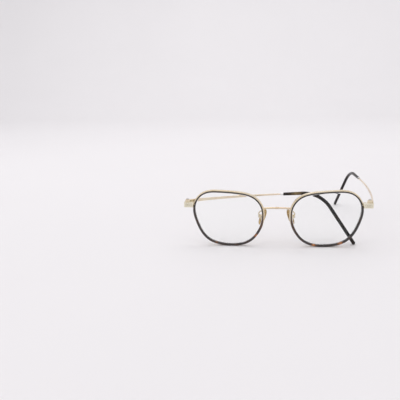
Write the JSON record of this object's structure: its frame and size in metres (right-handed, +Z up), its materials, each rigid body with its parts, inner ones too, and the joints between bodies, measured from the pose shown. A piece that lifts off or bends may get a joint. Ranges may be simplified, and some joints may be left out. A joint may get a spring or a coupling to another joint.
{
  "type": "wire frame eyeglasses",
  "caption": "Pale gold wire-frame eyeglasses with soft rounded rims, dark acetate rings, hinged temples with curved acetate tips and rocking nose pads.",
  "frame": {"origin": "on the resting surface, under the middle of the bounding box in the stored pose", "axes": "+Z up, front of the glasses towards -Y, temples open towards +Y, wearer's left at +X"},
  "size_m": [0.138, 0.1279, 0.0409],
  "materials": {
    "pale_gold": "polished pale gold plate over nickel alloy",
    "engraved_gold": "pale gold plate with a fine engraved scroll",
    "tortoise_acetate": "polished dark tortoise acetate",
    "tip_acetate": "polished dark acetate with amber streaks",
    "lens_glass": "clear, polished",
    "amber_pad": "translucent amber acetate",
    "screw_steel": "turned steel",
    "silver_ferrule": "polished",
    "nylon": "natural nylon"
  },
  "bodies": {
    "front": {"bridge": "pale_gold", "left_lens": "lens_glass", "left_acetate_ring": "tortoise_acetate", "left_eyewire": "pale_gold", "left_end_piece": "engraved_gold", "left_closing_block": "pale_gold", "left_rim_screw": "screw_steel", "left_front_hinge": "pale_gold", "left_hinge_screw": "screw_steel", "left_hinge_washers": "nylon", "left_pad_arm": "pale_gold", "left_pad_box": "pale_gold", "left_pad_screw": "screw_steel", "right_lens": "lens_glass", "right_acetate_ring": "tortoise_acetate", "right_eyewire": "pale_gold", "right_end_piece": "engraved_gold", "right_closing_block": "pale_gold", "right_rim_screw": "screw_steel", "right_front_hinge": "pale_gold", "right_hinge_screw": "screw_steel", "right_hinge_washers": "nylon", "right_pad_arm": "pale_gold", "right_pad_box": "pale_gold", "right_pad_screw": "screw_steel"},
    "left_pad": {"left_nose_pad": "amber_pad", "left_pad_mount": "pale_gold"},
    "left_temple_arm": {"left_temple_hinge": "pale_gold", "left_temple": "pale_gold", "left_ferrule": "silver_ferrule", "left_temple_tip": "tip_acetate"},
    "right_pad": {"right_nose_pad": "amber_pad", "right_pad_mount": "pale_gold"},
    "right_temple_arm": {"right_temple_hinge": "pale_gold", "right_temple": "pale_gold", "right_ferrule": "silver_ferrule", "right_temple_tip": "tip_acetate"}
  },
  "joints": [
    {"name": "right_temple_fold", "type": "hinge", "parent": "front", "child": "right_temple_arm", "pos_m": [-0.0668, -0.0566, 0.031], "axis": [0, 0, 1], "range_deg": [-1, 88.7]},
    {"name": "left_temple_fold", "type": "hinge", "parent": "front", "child": "left_temple_arm", "pos_m": [0.0622, -0.0566, 0.031], "axis": [0, 0, 1], "range_deg": [-1.3, 82.5]},
    {"name": "left_pad_rock", "type": "hinge", "parent": "front", "child": "left_pad", "pos_m": [0.00914, -0.05534, 0.02022], "axis": [0.454, 0.891, 0], "range_deg": [-10, 10]},
    {"name": "right_pad_rock", "type": "hinge", "parent": "front", "child": "right_pad", "pos_m": [-0.01374, -0.05534, 0.02022], "axis": [-0.454, 0.891, 0], "range_deg": [-10, 10]}
  ]
}
